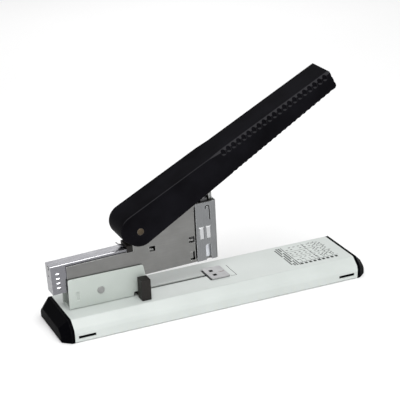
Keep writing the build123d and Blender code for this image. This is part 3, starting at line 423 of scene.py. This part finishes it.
def dress_nodes(finishes):
    """Give every node the finish of the slot that the record gives it."""
    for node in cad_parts.values():
        name = node.data.materials[0].name.split(".")[0]
        node.data.materials.clear()
        node.data.materials.append(finishes[name])


def make_floor():
    """A plain pale floor that reaches past the picture on every side."""
    finish = Finish("floor_paint")
    finish.colour(finish.mottled(*FLOOR_TONES, finish.grain(3, detail=3)))
    finish.roughness(finish.grain(200), 0.75, 0.85)
    mesh = bpy.data.meshes.new("floor")
    reach = FLOOR_REACH
    corners = [(-reach, -reach, 0), (reach, -reach, 0), (reach, reach, 0), (-reach, reach, 0)]
    mesh.from_pydata(corners, [], [(0, 1, 2, 3)])
    mesh.materials.append(finish.material)
    floor = bpy.data.objects.new("floor", mesh)
    bpy.context.scene.collection.objects.link(floor)


# ---------------------------------------------------------------- printed marks
def add_slab(mesh, x0, x1, y0, y1, z0, z1):
    """One thin closed slab."""
    corners = [mesh.verts.new((x, y, z)) for z in (z0, z1) for y in (y0, y1) for x in (x0, x1)]
    for face in ((0, 2, 3, 1), (4, 5, 7, 6), (0, 1, 5, 4), (2, 6, 7, 3), (0, 4, 6, 2), (1, 3, 7, 5)):
        mesh.faces.new([corners[i] for i in face])


def finish_piece(name, mesh, finish):
    """Turn a built mesh into a named piece printed on the base."""
    bmesh.ops.recalc_face_normals(mesh, faces=mesh.faces)
    data = bpy.data.meshes.new(name)
    mesh.to_mesh(data)
    mesh.free()
    data.materials.append(finish)
    piece = bpy.data.objects.new(name, data)
    bpy.context.scene.collection.objects.link(piece)
    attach(piece, "root")


def ladder(start, pitch, count):
    """Evenly spaced places."""
    return [start + pitch * step for step in range(count)]


def printed_table(finishes):
    """A ruled loading table printed on the base: rules, ticks and bars, with no lettering."""
    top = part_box("base_cover")[1].z
    mesh = bmesh.new()

    def mark(x, y, length, width):
        half_x, half_y = length / 2 * MM, width / 2 * MM
        x, y = x * MM, y * MM
        under, over = top - INK_SUNK * MM, top + INK_PROUD * MM
        add_slab(mesh, x - half_x, x + half_x, y - half_y, y + half_y, under, over)

    left, right, low, high = TABLE_LEFT, TABLE_RIGHT, TABLE_LOW, TABLE_HIGH
    middle, tall = (low + high) / 2, high - low
    margin = UPRIGHT_RULES[0][0]
    for across, width in UPRIGHT_RULES:
        mark(left + across, middle, width, tall)
    for share in LEVEL_RULE_SHARES:
        mark((left + margin + right) / 2, low + share * tall, right - left - margin, LEVEL_RULE_WIDTH)
    # Marks in columns and rows: a place stays empty where its column and row numbers, each times its
    # own step, add up to a multiple of the cycle.
    rows = [low + share * tall for share in ROW_SHARES]
    blocks = (
        (ladder(left + 1.0, 2.7, 3), ladder(high - 1.5, -3.1, 15), (1.7, 2.4), (3, 5, 7)),
        (ladder(left + 12.5, 5.3, 8), rows, (2.4, 1.1), (3, 2, 8)),
        (ladder(right - 3.0, -5.2, 3), ladder(high - 2.0, -4.4, 9), (1.2, 2.0), (2, 1, 5)),
    )
    for columns, places, (length, width), (column_step, row_step, cycle) in blocks:
        for i, x in enumerate(columns):
            for j, y in enumerate(places):
                if (column_step * i + row_step * j) % cycle:
                    mark(x, y, length, width)
    for x in ladder(left + 11.5, FOOT_PITCH, FOOT_COLUMNS):
        mark(x, low + 0.05 * tall, 2.9, 3.8)
    for x in ladder(left + 9.5, FOOT_PITCH, FOOT_COLUMNS):
        mark(x, low + 0.2 * tall, 0.35, 0.16 * tall)
    finish_piece("printed_table", mesh, finishes["print_ink"])


def anvil_label(finishes):
    """Thin printed outline that frames the front of the anvil plate."""
    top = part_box("base_cover")[1].z
    low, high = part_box("anvil_plate")
    under, over = top - INK_SUNK * MM, top + LABEL_PROUD * MM
    right = high.x + LABEL_REACH * MM
    near, bend = low.y + LABEL_NEAR_MARGIN * MM, low.y + (LABEL_NEAR_MARGIN + LABEL_THIN) * MM
    mesh = bmesh.new()
    add_slab(mesh, right - LABEL_WIDE * MM, right, bend, high.y - LABEL_FAR_MARGIN * MM, under, over)
    add_slab(mesh, high.x + LABEL_GAP * MM, right, near, bend, under, over)
    finish_piece("anvil_label", mesh, finishes["print_ink"])


def anvil_mark(finishes):
    """A faded crescent printed on the anvil plate, beside the two pockets."""
    low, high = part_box("anvil_plate")
    centre = Vector((low.x + ARC_X * MM, ARC_Y * MM, high.z))
    mesh = bmesh.new()
    rings = []
    for step in range(ARC_STEPS + 1):
        angle = math.radians(ARC_START + ARC_SWEEP * step / ARC_STEPS)
        along = ARC_TIP + (1 - 2 * ARC_TIP) * step / ARC_STEPS
        half = ARC_HALF_WIDTH * MM * math.sin(math.pi * along)
        ring = []
        for radius, lift in ((-half, -INK_SUNK), (half, -INK_SUNK), (half, INK_PROUD), (-half, INK_PROUD)):
            reach = ARC_RADIUS * MM + radius
            offset = (reach * math.cos(angle), ARC_FLATTENING * reach * math.sin(angle), lift * MM)
            ring.append(mesh.verts.new(centre + Vector(offset)))
        rings.append(ring)
    for one, two in zip(rings, rings[1:]):
        for i in range(4):
            j = (i + 1) % 4
            mesh.faces.new((one[i], one[j], two[j], two[i]))
    mesh.faces.new(rings[0])
    mesh.faces.new(reversed(rings[-1]))
    finish_piece("anvil_mark", mesh, finishes["faded_ink"])


make_camera()
make_studio()
make_floor()
finishes = make_finishes()
dress_nodes(finishes)
printed_table(finishes)
anvil_label(finishes)
anvil_mark(finishes)
